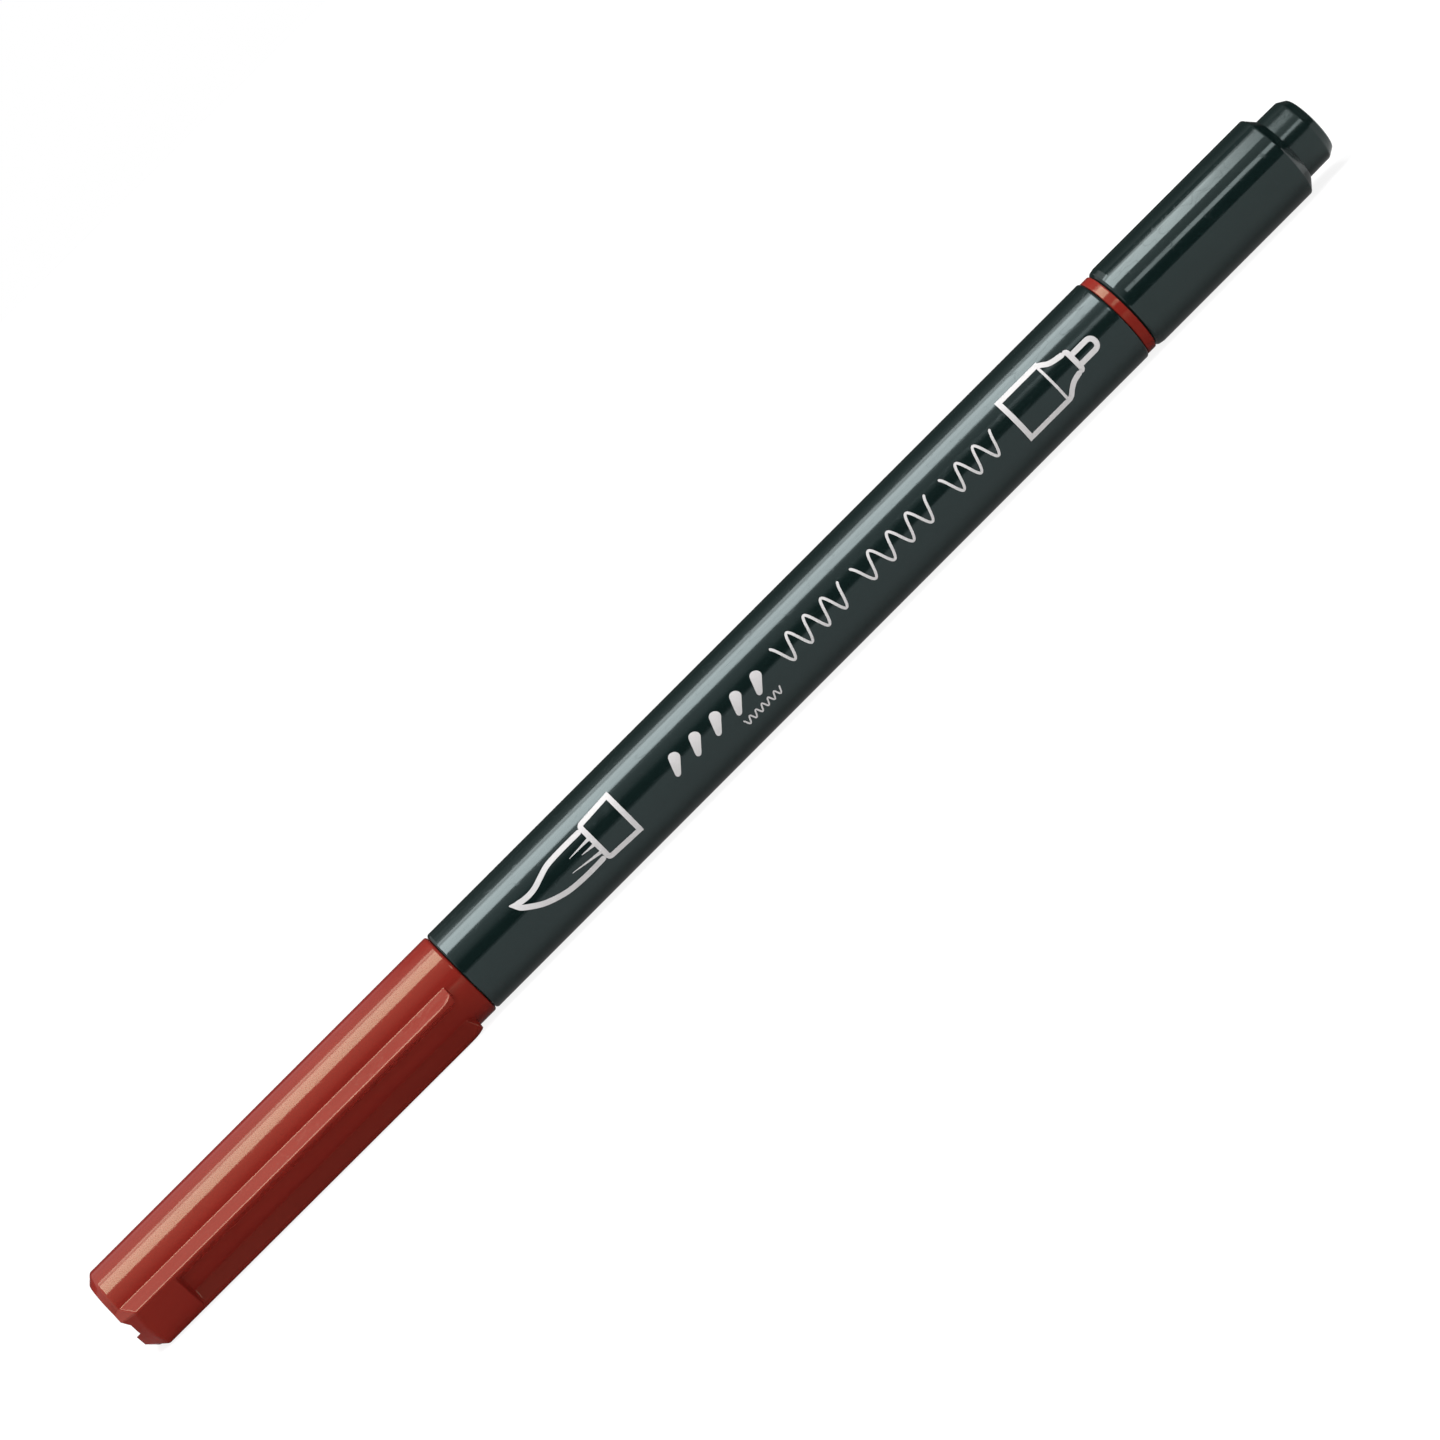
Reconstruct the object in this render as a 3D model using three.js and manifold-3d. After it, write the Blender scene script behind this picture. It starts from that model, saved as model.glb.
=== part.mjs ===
// Twin-tip brush pen with both caps on. Millimetres, right-handed, +Z up.
// The pen lies along +X: x = 0 is the flat end of the long brush cap, and +X runs to the fine tip's cap.
// Angles about the pen's axis are counted from +Z towards -Y.
import * as THREE from "three";
import { mergeVertices } from "three/addons/utils/BufferGeometryUtils.js";
import Module from "manifold-3d";

const wasm = await Module();
wasm.setup();

// ---- driving dimensions ----
const BODY_R = 4.75; // outside of the barrel and the brush cap, flush with each other
const SEGMENTS = 48; // facets of every round outside
const EDGE = 0.25; // bevel on the barrel's ends

const BRUSH_CAP_LENGTH = 45.2;
const BRUSH_CAP_RIM_R = 3.95; // flat part of the closed end
const BRUSH_CAP_RIM_LENGTH = 0.87; // bevel from the flat end to the full radius
const BRUSH_CAP_BORE_R = 4.05;
const BRUSH_CAP_FLOOR = 2.0; // thickness of the closed end

// Two ridges run along the cap, mirror images about the plane at RIB_MIRROR. Each has a long sloping
// outer face, a rounded crest and a steep inner side.
const RIB_MIRROR = 115.5; // degrees; the lower crest just touches the surface the pen lies on
const RIB_OUTER_FOOT = 78.7;
const RIB_CREST = 93.2;
const RIB_INNER_FOOT = 101.8;
const RIB_CREST_CENTRE_R = 5.98; // centre of the crest's rounding, from the axis
const RIB_CREST_ROUND = 0.32;
const RIB_FACE_NORMALS = [33.6, 67.1, 100.1, 133.1, 166.8]; // round the crest, outer face to inner side
const RIB_END = 43.1; // the ridges stop just short of the mouth
const PAD_END = 6.7; // a flat bridges the two crests from the closed end to here
const ROOT_R = 4.3; // ridges and flat are rooted inside the cap's wall
const VENT_DEPTH = 0.52; // vent groove right across the closed end, beside the first ridge
const VENT_FROM = 1.46; // the groove's floor, measured from the axis
const VENT_TO = 2.62;
const VENT_SLOPE_FROM = 0.6; // its side next to the ridge slopes down from here
const VENT_ANGLE = 172.1; // the side of the axis that the groove lies on, degrees

const BARREL_START = 45.3;
const BARREL_END = 132.2;
const PLUG_BORE_R = 3.85; // sockets for the two grip sections
const PLUG_BORE_LENGTH = 11;
const RESERVOIR_BORE_R = 3.6;

const RING_START = 132.3; // coloured ring that marks the fine end
const RING_LENGTH = 0.95;
const RING_R = 4.6;
const RING_BORE_R = 4.0;

const BRUSH_POINT = 9.0; // where the bristles come to their point
const SEAT_R = 3.9; // where each cap grips its section
const PLUG_R = 3.75; // where each section fits into the barrel

const FINE_CAP_START = 133.35;
const FINE_CAP_SHOULDER = 154.2; // full radius up to here
const FINE_CAP_END = 155.0; // end of the sloping shoulder
const FINE_CAP_R = 4.79;
const FINE_CAP_BORE_R = 4.05;
const FINE_CAP_HOLE_R = 3.72; // the plug's nose comes out here
const FINE_CAP_LIP_R = 4.35; // the mouth narrows to this
const NOSE_R = 3.66;
const NOSE_TIP_R = 2.82;
const NOSE_SHOULDER = 157.7;
const TOTAL_LENGTH = 158.7;

// ---- helpers ----

// A body of revolution about X from a closed outline of [x, r] corners.
// Half a facet's turn puts a flat facet underneath, so the pen lies still.
function turned(outline, segments = SEGMENTS) {
  let area = 0;
  outline.forEach(([x0, r0], i) => {
    const [x1, r1] = outline[(i + 1) % outline.length];
    area += x0 * r1 - x1 * r0;
  });
  const corners = area < 0 ? outline : [...outline].reverse();
  const points = corners.map(([x, r]) => new THREE.Vector2(r, x));
  const onAxis = points[0].x === 0 && points[points.length - 1].x === 0;
  if (!onAxis) points.push(points[0].clone());
  const round = new THREE.LatheGeometry(points, segments, Math.PI / segments);
  return round.rotateZ(-Math.PI / 2);
}

// A bar along X whose section is given as [across, out] corners about a radius at the given angle.
function bar(section, angle, start, end) {
  const shape = new THREE.Shape(section.map(([a, b]) => new THREE.Vector2(a, b)));
  const solid = new THREE.ExtrudeGeometry(shape, { depth: end - start, bevelEnabled: false });
  const turn = THREE.MathUtils.degToRad(angle);
  const out = new THREE.Vector3(0, -Math.sin(turn), Math.cos(turn));
  const along = new THREE.Vector3(1, 0, 0);
  const across = new THREE.Vector3().crossVectors(out, along);
  const place = new THREE.Matrix4().makeBasis(across, out, along);
  return solid.applyMatrix4(place.setPosition(start, 0, 0));
}

// Geometry to a manifold-3d solid and back, for joins and cuts.
function solid(geometry) {
  const bare = new THREE.BufferGeometry();
  const flat = geometry.index ? geometry.toNonIndexed() : geometry;
  bare.setAttribute("position", flat.getAttribute("position"));
  const merged = mergeVertices(bare, 1e-4);
  const body = new wasm.Manifold(
    new wasm.Mesh({
      numProp: 3,
      vertProperties: merged.attributes.position.array,
      triVerts: new Uint32Array(merged.index.array),
    }),
  );
  if (body.volume() <= 0) throw new Error("a helper made an inside-out solid");
  return body;
}
function geometryOf(body) {
  const mesh = body.getMesh();
  const geometry = new THREE.BufferGeometry();
  geometry.setAttribute("position", new THREE.BufferAttribute(mesh.vertProperties, 3));
  geometry.setIndex(new THREE.BufferAttribute(mesh.triVerts, 1));
  const flat = geometry.toNonIndexed();
  flat.computeVertexNormals();
  return flat;
}

const root = new THREE.Group();
root.name = "brush_pen";
function add(name, geometry, look) {
  const mesh = new THREE.Mesh(geometry, new THREE.MeshStandardMaterial(look));
  mesh.name = name;
  root.add(mesh);
  return mesh;
}

const BLACK_GLOSS = { color: 0x0c1413, roughness: 0.15 };
const BLACK_SATIN = { color: 0x151817, roughness: 0.4 };
const RED_GLOSS = { color: 0x8b2524, roughness: 0.25 };

// ---- barrel: one tube, with a socket at each end and a narrower bore that holds the ink core ----
const socketEnd = BARREL_START + PLUG_BORE_LENGTH;
const fineSocket = BARREL_END - PLUG_BORE_LENGTH;
add(
  "barrel",
  turned([
    [BARREL_START, PLUG_BORE_R],
    [BARREL_START, BODY_R - EDGE],
    [BARREL_START + EDGE, BODY_R],
    [BARREL_END - EDGE, BODY_R],
    [BARREL_END, BODY_R - EDGE],
    [BARREL_END, PLUG_BORE_R],
    [fineSocket, PLUG_BORE_R],
    [fineSocket - 0.4, RESERVOIR_BORE_R],
    [socketEnd + 0.4, RESERVOIR_BORE_R],
    [socketEnd, PLUG_BORE_R],
  ]),
  BLACK_GLOSS,
);

add(
  "colour_ring",
  turned([
    [RING_START, RING_BORE_R],
    [RING_START, RING_R - 0.1],
    [RING_START + 0.1, RING_R],
    [RING_START + RING_LENGTH - 0.1, RING_R],
    [RING_START + RING_LENGTH, RING_R - 0.1],
    [RING_START + RING_LENGTH, RING_BORE_R],
  ]),
  RED_GLOSS,
);

// ---- brush end: grip section, its retaining collar and the brush itself ----
const SECTION_BORE_R = 2.3;
const SECTION_MOUTH = 24.0;
add(
  "brush_section",
  turned([
    [SECTION_MOUTH, SECTION_BORE_R],
    [SECTION_MOUTH, 2.5],
    [SECTION_MOUTH + 0.3, 2.7],
    [35.4, 3.1],
    [36.2, 3.1],
    [37.0, 3.65],
    [37.4, SEAT_R - 0.05],
    [40.2, SEAT_R - 0.05],
    [40.5, SEAT_R + 0.08], // snap bead that the cap clicks over
    [41.1, SEAT_R + 0.08],
    [41.4, SEAT_R - 0.05],
    [45.15, SEAT_R - 0.05],
    [45.35, PLUG_R],
    [55.0, PLUG_R],
    [55.6, PLUG_R - 0.4],
    [55.6, SECTION_BORE_R],
  ]),
  BLACK_SATIN,
);
add(
  "brush_collar",
  turned(
    [
      [SECTION_MOUTH + 0.4, 1.72],
      [SECTION_MOUTH + 0.4, 2.2],
      [33.0, 2.2],
      [33.0, 1.72],
    ],
    32,
  ),
  { color: 0xd9d6cc, roughness: 0.5 },
);
// The bristles: a round bundle with a small belly and a fine point, held in the collar.
add(
  "brush_tip",
  turned(
    [
      [BRUSH_POINT, 0],
      [BRUSH_POINT + 0.25, 0.16],
      [BRUSH_POINT + 1.5, 0.48],
      [BRUSH_POINT + 3.5, 0.95],
      [BRUSH_POINT + 6.0, 1.45],
      [BRUSH_POINT + 8.6, 1.84],
      [BRUSH_POINT + 11.2, 2.05],
      [BRUSH_POINT + 13.2, 2.05],
      [SECTION_MOUTH - 0.1, 1.95],
      [SECTION_MOUTH + 0.2, 1.6],
      [33.5, 1.6],
      [33.5, 1.0],
      [30.0, 1.0],
      [30.0, 0],
    ],
    32,
  ),
  { color: 0x1b1b1e, roughness: 0.7 },
);
// A wick carries ink from the core into the root of the bristles.
add(
  "brush_feed",
  turned(
    [
      [30.3, 0],
      [30.3, 0.6],
      [30.6, 0.9],
      [62.2, 0.9],
      [62.5, 0.6],
      [62.5, 0],
    ],
    24,
  ),
  { color: 0x24262c, roughness: 0.95 },
);

// ---- ink core: a bonded-fibre rod in a thin film sleeve, with a socket at each end for the tips ----
const CORE_START = 57.2;
const CORE_END = 120.4;
const CORE_R = 3.25;
add(
  "reservoir_core",
  turned(
    [
      [CORE_START, 1.0],
      [CORE_START, CORE_R],
      [CORE_END, CORE_R],
      [CORE_END, 0.72],
      [115.0, 0.72],
      [115.0, 0],
      [63.0, 0],
      [63.0, 1.0],
    ],
    32,
  ),
  { color: 0x24262c, roughness: 0.95 },
);
add(
  "reservoir_film",
  turned(
    [
      [CORE_START - 0.3, CORE_R + 0.08],
      [CORE_START - 0.3, CORE_R + 0.2],
      [CORE_END + 0.3, CORE_R + 0.2],
      [CORE_END + 0.3, CORE_R + 0.08],
    ],
    32,
  ),
  { color: 0xe6e9ec, roughness: 0.2 },
);

// ---- fine end: grip section and nib ----
add(
  "fine_section",
  turned([
    [121.9, 2.3],
    [121.9, PLUG_R - 0.4],
    [122.4, PLUG_R],
    [132.2, PLUG_R],
    [132.3, SEAT_R - 0.05],
    [136.2, SEAT_R - 0.05],
    [136.5, SEAT_R + 0.08],
    [137.1, SEAT_R + 0.08],
    [137.4, SEAT_R - 0.05],
    [140.6, SEAT_R - 0.05],
    [141.0, 3.65],
    [141.8, 3.05],
    [143.4, 3.0],
    [147.3, 1.35],
    [147.6, 1.1],
    [147.6, 0.72],
    [128.0, 0.72],
    [126.0, 2.3],
  ]),
  BLACK_SATIN,
);
add(
  "fine_nib",
  turned(
    [
      [115.3, 0],
      [115.3, 0.4],
      [115.8, 0.6],
      [149.1, 0.6],
      [149.6, 0.5],
      [149.9, 0.3],
      [150.0, 0],
    ],
    24,
  ),
  { color: 0x202022, roughness: 0.6 },
);

// ---- brush cap: red shell with two ridges, a flat between them and a vent groove ----
const shell = solid(
  turned([
    [0, 0],
    [0, BRUSH_CAP_RIM_R],
    [BRUSH_CAP_RIM_LENGTH, BODY_R],
    [BRUSH_CAP_LENGTH - 0.3, BODY_R],
    [BRUSH_CAP_LENGTH, BODY_R - 0.3],
    [BRUSH_CAP_LENGTH, BRUSH_CAP_BORE_R + 0.1],
    [BRUSH_CAP_LENGTH - 0.4, BRUSH_CAP_BORE_R],
    [BRUSH_CAP_FLOOR, BRUSH_CAP_BORE_R],
    [BRUSH_CAP_FLOOR, 0],
  ]),
);
// The ridges' section as [across, out] corners about the +Z radius.
function polar(radius, degrees) {
  const turn = THREE.MathUtils.degToRad(degrees);
  return [-radius * Math.sin(turn), radius * Math.cos(turn)];
}
const crestCentre = polar(RIB_CREST_CENTRE_R, RIB_CREST);
const crest = RIB_FACE_NORMALS.map((normal) => {
  const [across, out] = polar(RIB_CREST_ROUND, normal);
  return [crestCentre[0] + across, crestCentre[1] + out];
});
const ribSection = [
  polar(ROOT_R, RIB_OUTER_FOOT),
  polar(BODY_R - 0.02, RIB_OUTER_FOOT),
  ...crest,
  polar(BODY_R - 0.02, RIB_INNER_FOOT),
  polar(ROOT_R, RIB_INNER_FOOT),
];
// The same outline turned over about the mirror plane.
function mirrored(section) {
  return section.map(([across, out]) => {
    const angle = THREE.MathUtils.radToDeg(Math.atan2(-across, out));
    return polar(Math.hypot(across, out), 2 * RIB_MIRROR - angle);
  });
}
const halfSpread = THREE.MathUtils.degToRad(RIB_MIRROR - RIB_CREST);
const padOut = RIB_CREST_CENTRE_R * Math.cos(halfSpread) + RIB_CREST_ROUND - 0.02;
const padHalf = RIB_CREST_CENTRE_R * Math.sin(halfSpread);
const pad = bar(
  [
    [-padHalf, ROOT_R],
    [padHalf, ROOT_R],
    [padHalf, padOut],
    [-padHalf, padOut],
  ],
  RIB_MIRROR,
  0,
  PAD_END,
);
// What trims the ridges and the flat: a bevel at the closed end and a rounded stop at the mouth end.
const trim = turned([
  [0, 0],
  [0, 4.38],
  [1.85, 6.4],
  [RIB_END - 2.0, 6.4],
  [RIB_END - 1.0, 6.2],
  [RIB_END - 0.25, 5.95],
  [RIB_END, 5.72],
  [RIB_END, 0],
]);
const ridges = solid(bar(ribSection, 0, 0, RIB_END))
  .add(solid(bar(mirrored(ribSection), 0, 0, RIB_END)))
  .add(solid(pad))
  .intersect(solid(trim));
// The bore is cleared again where the ridges and the flat would reach into it.
const bore = turned([
  [BRUSH_CAP_FLOOR, 0],
  [BRUSH_CAP_FLOOR, BRUSH_CAP_BORE_R],
  [BRUSH_CAP_LENGTH + 1, BRUSH_CAP_BORE_R],
  [BRUSH_CAP_LENGTH + 1, 0],
]);
// The vent groove's section, [along the pen, out] corners, swept right across the end.
function ventGroove() {
  const section = [
    [-1, VENT_SLOPE_FROM],
    [0, VENT_SLOPE_FROM],
    [VENT_DEPTH, VENT_FROM],
    [VENT_DEPTH, VENT_TO],
    [-1, VENT_TO],
  ];
  const shape = new THREE.Shape(section.map(([a, b]) => new THREE.Vector2(a, b)));
  const reach = 16;
  const groove = new THREE.ExtrudeGeometry(shape, { depth: reach, bevelEnabled: false });
  const turn = THREE.MathUtils.degToRad(VENT_ANGLE);
  const along = new THREE.Vector3(1, 0, 0);
  const out = new THREE.Vector3(0, -Math.sin(turn), Math.cos(turn));
  const across = new THREE.Vector3().crossVectors(along, out);
  const place = new THREE.Matrix4().makeBasis(along, out, across);
  return groove.applyMatrix4(place.setPosition(across.multiplyScalar(-reach / 2)));
}
const cap = shell.add(ridges).subtract(solid(bore)).subtract(solid(ventGroove()));
add("brush_cap", geometryOf(cap), RED_GLOSS);

// A liner inside the shell closes on the section's shoulder and keeps the brush wet.
add(
  "brush_inner_cap",
  turned([
    [2.3, 0],
    [2.3, 3.75],
    [2.5, 3.95],
    [34.9, 3.95],
    [35.3, 3.7],
    [35.3, 3.25],
    [34.9, 3.2],
    [34.0, 3.2],
    [33.6, 3.35],
    [3.4, 3.35],
    [3.1, 3.1],
    [3.1, 0],
  ]),
  { color: 0xe4e2da, roughness: 0.45 },
);

// ---- fine cap: black sleeve, open at both ends, and a plug whose nose comes out of its shoulder ----
add(
  "fine_cap",
  turned([
    [FINE_CAP_START, FINE_CAP_BORE_R],
    [FINE_CAP_START, FINE_CAP_LIP_R],
    [FINE_CAP_START + 0.55, FINE_CAP_R - 0.08],
    [FINE_CAP_START + 0.95, FINE_CAP_R],
    [FINE_CAP_SHOULDER, FINE_CAP_R],
    [FINE_CAP_END, FINE_CAP_HOLE_R + 0.12],
    [FINE_CAP_END, FINE_CAP_HOLE_R],
    [FINE_CAP_SHOULDER - 0.9, FINE_CAP_HOLE_R],
    [FINE_CAP_SHOULDER - 0.9, FINE_CAP_BORE_R],
  ]),
  BLACK_GLOSS,
);
add(
  "fine_inner_cap",
  turned([
    [142.3, 3.2],
    [142.3, 3.75],
    [142.6, 3.95],
    [FINE_CAP_SHOULDER - 1.0, 3.95],
    [FINE_CAP_SHOULDER - 1.0, NOSE_R],
    [NOSE_SHOULDER, NOSE_R],
    [NOSE_SHOULDER + 0.45, NOSE_R - 0.15],
    [TOTAL_LENGTH - 0.2, NOSE_TIP_R + 0.25],
    [TOTAL_LENGTH, NOSE_TIP_R],
    [TOTAL_LENGTH, 0],
    [TOTAL_LENGTH - 1.1, 0],
    [TOTAL_LENGTH - 1.1, 2.4],
    [FINE_CAP_END + 0.6, 2.6],
    [FINE_CAP_END, 3.2],
  ]),
  { color: 0x101312, roughness: 0.3 },
);

export default root;
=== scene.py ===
import math
import random

import bmesh
import bpy
from mathutils import Matrix, Vector


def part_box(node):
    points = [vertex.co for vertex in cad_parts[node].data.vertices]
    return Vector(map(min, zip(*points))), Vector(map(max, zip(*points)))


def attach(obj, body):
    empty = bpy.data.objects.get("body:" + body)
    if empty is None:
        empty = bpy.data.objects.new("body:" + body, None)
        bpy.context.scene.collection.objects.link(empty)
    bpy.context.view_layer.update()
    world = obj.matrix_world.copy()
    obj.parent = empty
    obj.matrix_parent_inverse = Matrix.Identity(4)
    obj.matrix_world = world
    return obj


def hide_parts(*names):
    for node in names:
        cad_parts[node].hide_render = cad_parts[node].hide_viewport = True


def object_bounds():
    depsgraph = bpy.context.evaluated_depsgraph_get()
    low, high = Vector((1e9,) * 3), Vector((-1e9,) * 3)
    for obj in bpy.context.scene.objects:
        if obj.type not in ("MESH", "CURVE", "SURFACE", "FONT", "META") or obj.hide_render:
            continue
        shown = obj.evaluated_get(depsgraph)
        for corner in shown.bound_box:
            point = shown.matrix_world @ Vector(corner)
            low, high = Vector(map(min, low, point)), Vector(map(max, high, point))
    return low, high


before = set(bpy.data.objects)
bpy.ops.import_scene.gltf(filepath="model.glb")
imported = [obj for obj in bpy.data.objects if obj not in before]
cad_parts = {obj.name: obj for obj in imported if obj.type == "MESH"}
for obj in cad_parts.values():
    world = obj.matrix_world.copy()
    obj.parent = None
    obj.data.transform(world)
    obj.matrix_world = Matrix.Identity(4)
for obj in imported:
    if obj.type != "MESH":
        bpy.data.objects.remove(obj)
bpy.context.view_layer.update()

MM = 0.001

# ---- camera ----
CAMERA_ELEVATION = 7.9  # degrees above the floor
CAMERA_DISTANCE = 541.8  # from the pen's axis
CAMERA_X = 56.06  # the camera stands beside this point of the pen
AIM_X = 79.14
AIM_DROP = 0.43  # the aim passes this far below the axis, in the picture plane
LENS = 144.0
SENSOR = 36.0
FACING = 90.0 - CAMERA_ELEVATION  # angle round the pen of the side that the camera faces

# ---- sizes that the frame's boxes don't give ----
CAD_FACETS = 48
CAP_MOUTH_BORE_R = 4.05
CAP_FLOOR = 2.0
CAP_END_FLAT_R = 3.95
SOCKET_R = 3.85
SOCKET_LENGTH = 11.0
INNER_BORE_R = 3.6
RING_BORE_R = 4.0
SECTION_BORE_R = 2.3
NOSE_FLAT_R = 2.82  # flat tip of the fine cap's nose
SEAM = 0.02  # what is left open between two pieces that meet

# ---- the red cap's two ridges; angles are measured from the plane midway between them ----
RIDGE_MIDDLE = 115.5  # angle round the pen of that plane
RIDGE_WIND = 2.2  # degrees by which the ridges wind round the cap from the closed end to the mouth
CREST_ANGLE = 22.7  # where the crest's rounding is centred
CREST_CENTRE_R = 6.05
CREST_ROUND = 0.25
OUTER_NORMAL = 81.9  # where the long outer face looks
INNER_NORMAL = -44.5  # where the steep inner face looks
PAD_END = 6.7  # the flat that joins the crests ends here
PAD_ROUND = 0.3  # rounding of its end
PAD_STEP = (-0.2, 0.25)  # its end slopes down between these distances from PAD_END
RIDGE_END = 43.1
RIDGE_END_ROUND = 2.2  # the crests curve down over this length
RIDGE_TOP_R = 6.3
RIDGE_END_DROP_R = 5.66  # and stop in a wall from this radius
RIDGE_END_SLANT = 0.65  # that wall's inner side lies this much further back
FOOT_BLEND = 0.06  # softness of the ridges' feet
END_BEVEL_BLEND = 0.15  # and of the closed end's bevel
BEVEL_STRETCH = 0.33  # the bevel reaches further along where the ridges stand out
GROOVE_DEPTH = 0.52
GROOVE_FLOOR = (1.46, 2.62)  # the vent groove's floor, measured from the axis
GROOVE_SLOPE_FROM = 0.6

# ---- fineness ----
ROUND_STEPS = 192
ARC_STEPS = 6
SUPPORT = 0.06  # loops this far from each rounded edge keep the long faces' shading true
GROOVE_SHARP = 38.0  # degrees past which an edge of the cut cap stays crisp
PRINT_SHARP = 50.0  # and an edge of the print


def span(node):
    """Where a node starts and ends along the pen."""
    low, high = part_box(node)
    return low.x / MM, high.x / MM


def outer_radius(node):
    """A faceted round node's true radius."""
    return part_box(node)[1].z / MM / math.cos(math.pi / CAD_FACETS)


BODY_R = outer_radius("barrel")
FINE_CAP_R = outer_radius("fine_cap")
RING_R = outer_radius("colour_ring")


def around(x, radius, degrees):
    """The point at x, at that radius and angle round the pen, in metres."""
    turn = math.radians(degrees)
    return Vector((x, -radius * math.sin(turn), radius * math.cos(turn))) * MM


# ======================================================================================== materials


def math_node(nodes, links, operation, values):
    """Adds a Math node; each value is a number or another node's output."""
    node = nodes.new("ShaderNodeMath")
    node.operation = operation
    for socket, value in zip(node.inputs, values):
        if isinstance(value, (int, float)):
            socket.default_value = value
        else:
            links.new(value, socket)
    return node.outputs["Value"]


def set_sockets(shader, **values):
    """Sets a shader's sockets by name, with _ for each space."""
    for socket, value in values.items():
        shader.inputs[socket.replace("_", " ")].default_value = value


class Shade:
    """A node material with a Principled shader, and short ways to add nodes to it."""

    def __init__(self, name, **values):
        self.material = bpy.data.materials.new(name)
        self.material.use_nodes = True
        self.nodes = self.material.node_tree.nodes
        self.links = self.material.node_tree.links
        self.shader = self.nodes["Principled BSDF"]
        set_sockets(self.shader, **values)
        self.place = self.nodes.new("ShaderNodeTexCoord").outputs["Object"]
        self.last_normal = None

    def stretched(self, scale):
        """Position in millimetres, times scale along X, Y and Z."""
        mapping = self.nodes.new("ShaderNodeMapping")
        mapping.inputs["Scale"].default_value = [s / MM for s in scale]
        self.links.new(self.place, mapping.inputs["Vector"])
        return mapping.outputs["Vector"]

    def noise(self, scale, detail=2.0, roughness=0.5, distortion=0.0):
        """Noise with that many features per millimetre along X, Y and Z."""
        node = self.nodes.new("ShaderNodeTexNoise")
        node.inputs["Scale"].default_value = 1.0
        node.inputs["Detail"].default_value = detail
        node.inputs["Roughness"].default_value = roughness
        node.inputs["Distortion"].default_value = distortion
        self.links.new(self.stretched(scale), node.inputs["Vector"])
        return node.outputs["Fac"]

    def scaled(self, value, low, high, out_low, out_high):
        """Value, with low to high mapped to out_low to out_high, and held at both ends."""
        node = self.nodes.new("ShaderNodeMapRange")
        node.inputs["From Min"].default_value = low
        node.inputs["From Max"].default_value = high
        node.inputs["To Min"].default_value = out_low
        node.inputs["To Max"].default_value = out_high
        self.links.new(value, node.inputs["Value"])
        return node.outputs["Result"]

    def math(self, operation, *values):
        return math_node(self.nodes, self.links, operation, values)

    def scratches(self, scale, width, distortion=0.6):
        """Thin crossing lines, 1 on a line and 0 elsewhere: where a noise passes its middle value."""
        field = self.noise(scale, detail=0.0, distortion=distortion)
        away = self.math("ABSOLUTE", self.math("SUBTRACT", field, 0.5))
        return self.scaled(away, 0.0, width, 1.0, 0.0)

    def mixed_colour(self, value, low, high, first, second):
        """Base colour running from first to second as value goes from low to high."""
        ramp = self.nodes.new("ShaderNodeValToRGB")
        ramp.color_ramp.elements[0].position = low
        ramp.color_ramp.elements[1].position = high
        ramp.color_ramp.elements[0].color = (*first, 1.0)
        ramp.color_ramp.elements[1].color = (*second, 1.0)
        self.links.new(value, ramp.inputs["Fac"])
        self.links.new(ramp.outputs["Color"], self.shader.inputs["Base Color"])

    def rough(self, value):
        self.links.new(value, self.shader.inputs["Roughness"])

    def bump(self, height, micrometres):
        """Raises the surface by up to that many micrometres where height is 1."""
        node = self.nodes.new("ShaderNodeBump")
        node.inputs["Strength"].default_value = 1.0
        node.inputs["Distance"].default_value = micrometres * 1e-6
        self.links.new(height, node.inputs["Height"])
        if self.last_normal:
            self.links.new(self.last_normal, node.inputs["Normal"])
        self.links.new(node.outputs["Normal"], self.shader.inputs["Normal"])
        self.last_normal = node.outputs["Normal"]


def black_barrel_plastic():
    """Extruded glossy black tube: drawn lines along it, faint ripple, hairline scratches."""
    shade = Shade("black_barrel_plastic", IOR=1.43, Specular_Tint=(0.84, 1.0, 1.02, 1.0))
    mottle = shade.noise((0.08, 0.5, 0.5), detail=3.0)
    shade.mixed_colour(mottle, 0.3, 0.7, (0.0028, 0.0084, 0.0078), (0.0038, 0.0100, 0.0094))
    drawn = shade.noise((0.012, 5.0, 5.0), detail=3.0, roughness=0.6)
    smear = shade.noise((0.05, 1.4, 1.4), detail=4.0)
    hairlines = shade.scratches((0.25, 1.1, 1.1), 0.016)
    base = shade.scaled(smear, 0.3, 0.7, 0.07, 0.11)
    lines = shade.scaled(drawn, 0.35, 0.65, 0.0, 0.07)
    wear = shade.math("ADD", lines, shade.math("MULTIPLY", hairlines, 0.12))
    shade.rough(shade.math("ADD", base, wear))
    shade.bump(shade.noise((0.012, 1.6, 1.6), detail=2.0), 2.2)
    shade.bump(drawn, 2.2)
    shade.bump(shade.noise((0.2, 0.35, 0.35), detail=1.0), 3.0)
    shade.bump(hairlines, -0.25)
    return shade.material


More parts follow.
